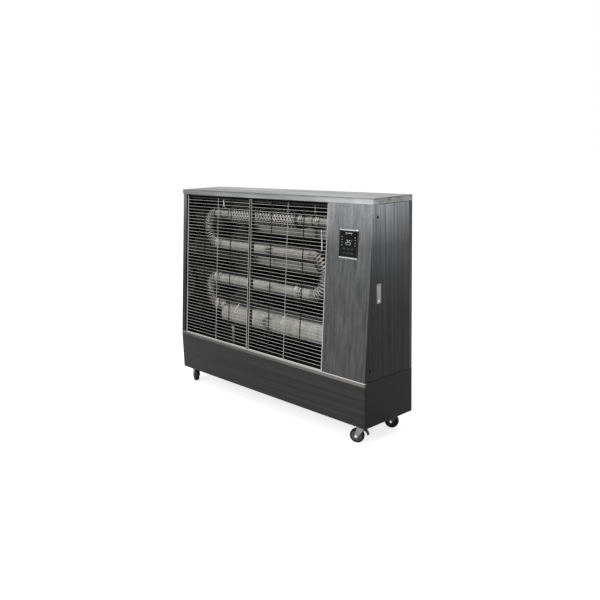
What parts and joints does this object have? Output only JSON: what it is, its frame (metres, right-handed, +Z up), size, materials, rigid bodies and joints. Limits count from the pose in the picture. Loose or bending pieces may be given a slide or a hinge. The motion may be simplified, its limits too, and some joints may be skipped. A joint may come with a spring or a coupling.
{
  "type": "portable radiant tube heater",
  "caption": "Brushed steel cabinet heater on casters, with a ribbed tube run behind a wire grille and a control panel beside it.",
  "frame": {"origin": "on the floor under the middle of the heater, flue spigot included", "axes": "+X to the controls end, +Y to the back, +Z up"},
  "size_m": [1.314, 0.338, 1.024],
  "materials": {
    "stainless": "brushed",
    "tube_steel": "heat-tinted satin",
    "reflector": "polished",
    "galvanised": "zinc plated",
    "chrome": "plated",
    "wire": "bright wire",
    "tank": "satin black",
    "burner": "satin grey",
    "black_plastic": "satin",
    "grey_plastic": "satin",
    "light_plastic": "satin",
    "red_plastic": "satin",
    "wheel": "satin"
  },
  "bodies": {
    "casing": {"base_tray": "stainless", "blast_tube": "galvanised", "bulkhead": "galvanised", "burner_housing": "burner", "burner_motor": "burner", "cable_gland": "black_plastic", "caster_plates": "galvanised", "combustion_chamber": "tube_steel", "control_bezel": "chrome", "control_box": "black_plastic", "control_front_panel": "stainless", "control_plate": "grey_plastic", "deck_plate": "reflector", "door_hinge_pins": "galvanised", "end_heat_shield": "reflector", "exhaust_tube": "tube_steel", "flue_spigot": "tube_steel", "fuel_pump": "burner", "fuel_tank": "tank", "grille_left": "wire", "grille_right": "wire", "header_rail": "stainless", "left_front_post": "stainless", "left_side_panel": "stainless", "lower_left_bend": "tube_steel", "middle_tube": "tube_steel", "mullion": "stainless", "perforated_sleeve": "tube_steel", "rear_panel": "stainless", "reflector": "reflector", "right_bend": "tube_steel", "sill_rail": "stainless", "top_lid": "stainless", "tube_collars": "tube_steel", "tube_supports": "tube_steel", "upper_left_bend": "tube_steel", "upper_tube": "tube_steel"},
    "blower": {"blower_wheel": "burner"},
    "fuel_cap": {"fuel_cap": "red_plastic"},
    "door": {"side_door": "stainless", "latch_case": "chrome"},
    "latch_lever": {"latch_lever": "chrome"},
    "latch_button": {"latch_button": "black_plastic"},
    "latch_bolt": {"latch_bolt": "galvanised"},
    "button_power": {"button_power": "light_plastic"},
    "button_timer": {"button_timer": "black_plastic"},
    "button_mode": {"button_mode": "black_plastic"},
    "button_down": {"button_down": "black_plastic"},
    "button_up": {"button_up": "black_plastic"},
    "button_lock": {"button_lock": "black_plastic"},
    "swivel_front_right": {"caster_fork_front_right": "chrome"},
    "wheel_front_right": {"caster_wheel_front_right": "wheel"},
    "brake_front_right": {"brake_pedal_front_right": "black_plastic"},
    "swivel_rear_right": {"caster_fork_rear_right": "chrome"},
    "wheel_rear_right": {"caster_wheel_rear_right": "wheel"},
    "swivel_front_left": {"caster_fork_front_left": "chrome"},
    "wheel_front_left": {"caster_wheel_front_left": "wheel"},
    "brake_front_left": {"brake_pedal_front_left": "black_plastic"},
    "swivel_rear_left": {"caster_fork_rear_left": "chrome"},
    "wheel_rear_left": {"caster_wheel_rear_left": "wheel"}
  },
  "joints": [
    {"name": "blower_spin", "type": "hinge", "parent": "casing", "child": "blower", "pos_m": [0.548, -0.028, 0.3956], "axis": [0, 1, 0], "continuous": true},
    {"name": "fuel_cap_turn", "type": "hinge", "parent": "casing", "child": "fuel_cap", "pos_m": [0.6, 0.063, 0.32], "axis": [0, 0, 1], "range_deg": [0, 90]},
    {"name": "door_hinge", "type": "hinge", "parent": "casing", "child": "door", "pos_m": [0.651, 0.1023, 0.6408], "axis": [0, 0, 1], "range_deg": [0, 110]},
    {"name": "latch_lever_turn", "type": "hinge", "parent": "door", "child": "latch_lever", "pos_m": [0.6532, -0.0786, 0.6733], "axis": [0, -1, 0], "range_deg": [0, 40], "stiffness_Nm_per_rad": 0.1},
    {"name": "latch_bolt_slide", "type": "slide", "parent": "door", "child": "latch_bolt", "axis": [0, 1, 0], "range_m": [0, 0.0095]},
    {"name": "latch_button_press", "type": "slide", "parent": "door", "child": "latch_button", "axis": [-1, 0, 0], "range_m": [0, 0.002], "stiffness_N_per_m": 500},
    {"name": "button_power_press", "type": "slide", "parent": "casing", "child": "button_power", "axis": [0, 0.996, -0.0893], "range_m": [0, 0.0008], "stiffness_N_per_m": 800},
    {"name": "button_timer_press", "type": "slide", "parent": "casing", "child": "button_timer", "axis": [0, 0.996, -0.0893], "range_m": [0, 0.0008], "stiffness_N_per_m": 800},
    {"name": "button_mode_press", "type": "slide", "parent": "casing", "child": "button_mode", "axis": [0, 0.996, -0.0893], "range_m": [0, 0.0008], "stiffness_N_per_m": 800},
    {"name": "button_down_press", "type": "slide", "parent": "casing", "child": "button_down", "axis": [0, 0.996, -0.0893], "range_m": [0, 0.0008], "stiffness_N_per_m": 800},
    {"name": "button_up_press", "type": "slide", "parent": "casing", "child": "button_up", "axis": [0, 0.996, -0.0893], "range_m": [0, 0.0008], "stiffness_N_per_m": 800},
    {"name": "button_lock_press", "type": "slide", "parent": "casing", "child": "button_lock", "axis": [0, 0.996, -0.0893], "range_m": [0, 0.0008], "stiffness_N_per_m": 800},
    {"name": "swivel_front_right_turn", "type": "hinge", "parent": "casing", "child": "swivel_front_right", "pos_m": [0.6, -0.13, 0.075], "axis": [0, 0, 1], "continuous": true},
    {"name": "wheel_front_right_roll", "type": "hinge", "parent": "swivel_front_right", "child": "wheel_front_right", "pos_m": [0.58264, -0.13773, 0.0315], "axis": [0.4067, -0.9135, 0], "continuous": true},
    {"name": "brake_front_right_press", "type": "hinge", "parent": "swivel_front_right", "child": "brake_front_right", "pos_m": [0.60731, -0.12675, 0.0602], "axis": [-0.4067, 0.9135, 0], "range_deg": [0, 15]},
    {"name": "swivel_rear_right_turn", "type": "hinge", "parent": "casing", "child": "swivel_rear_right", "pos_m": [0.6, 0.094, 0.075], "axis": [0, 0, 1], "continuous": true},
    {"name": "wheel_rear_right_roll", "type": "hinge", "parent": "swivel_rear_right", "child": "wheel_rear_right", "pos_m": [0.58278, 0.08597, 0.0315], "axis": [0.4226, -0.9063, 0], "continuous": true},
    {"name": "swivel_front_left_turn", "type": "hinge", "parent": "casing", "child": "swivel_front_left", "pos_m": [-0.6, -0.13, 0.075], "axis": [0, 0, 1], "continuous": true},
    {"name": "wheel_front_left_roll", "type": "hinge", "parent": "swivel_front_left", "child": "wheel_front_left", "pos_m": [-0.61774, -0.12319, 0.0315], "axis": [-0.3584, -0.9336, 0], "continuous": true},
    {"name": "brake_front_left_press", "type": "hinge", "parent": "swivel_front_left", "child": "brake_front_left", "pos_m": [-0.59253, -0.13287, 0.0602], "axis": [0.3584, 0.9336, 0], "range_deg": [0, 15]},
    {"name": "swivel_rear_left_turn", "type": "hinge", "parent": "casing", "child": "swivel_rear_left", "pos_m": [-0.6, 0.094, 0.075], "axis": [0, 0, 1], "continuous": true},
    {"name": "wheel_rear_left_roll", "type": "hinge", "parent": "swivel_rear_left", "child": "wheel_rear_left", "pos_m": [-0.61817, 0.09956, 0.0315], "axis": [-0.2924, -0.9563, 0], "continuous": true}
  ],
  "couplings": [
    {"joint": "latch_bolt_slide", "follows": "latch_lever_turn", "m_per_rad": 0.013608}
  ]
}
